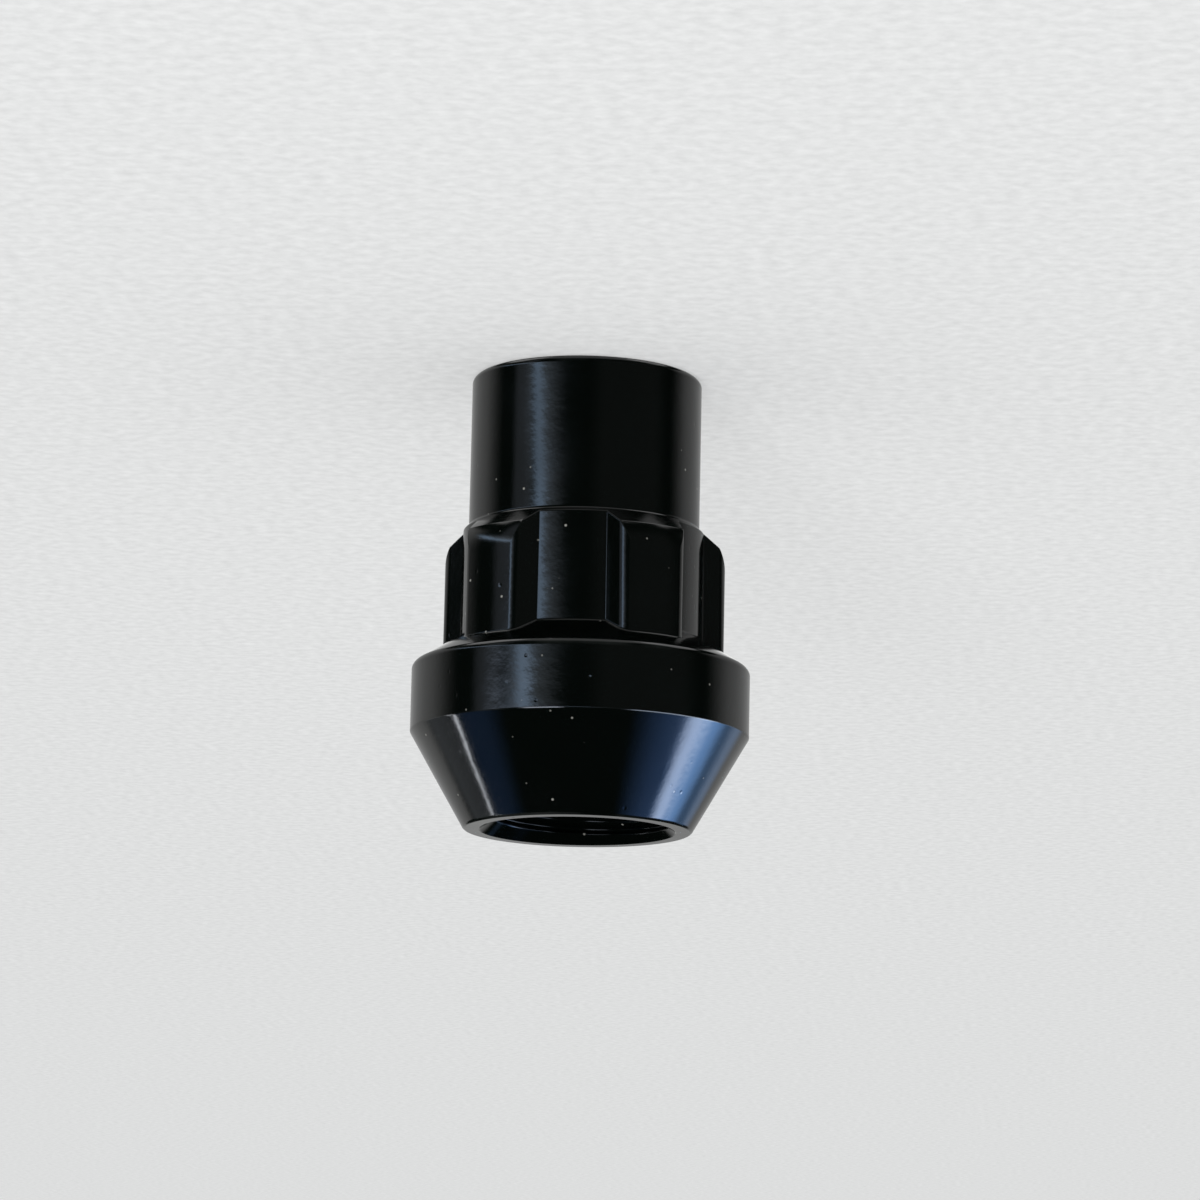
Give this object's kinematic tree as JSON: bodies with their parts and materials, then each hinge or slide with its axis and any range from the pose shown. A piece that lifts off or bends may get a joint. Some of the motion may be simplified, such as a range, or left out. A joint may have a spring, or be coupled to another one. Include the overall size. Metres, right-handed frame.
{
  "type": "lug nut",
  "caption": "Black closed-end wheel lug nut: round head, lobed drive section, wide flange, 60 degree conical seat and blind threaded bore.",
  "frame": {"origin": "centre of the closed end's flat face, which the nut stands on", "axes": "+Z along the stud axis from the closed end to the open end; a valley between two lobes faces -Y"},
  "size_m": [0.0254, 0.0254, 0.0345],
  "materials": {
    "black_coated_steel": "black satin-gloss coating on steel"
  },
  "bodies": {
    "root": {"lug_nut": "black_coated_steel"}
  },
  "joints": []
}
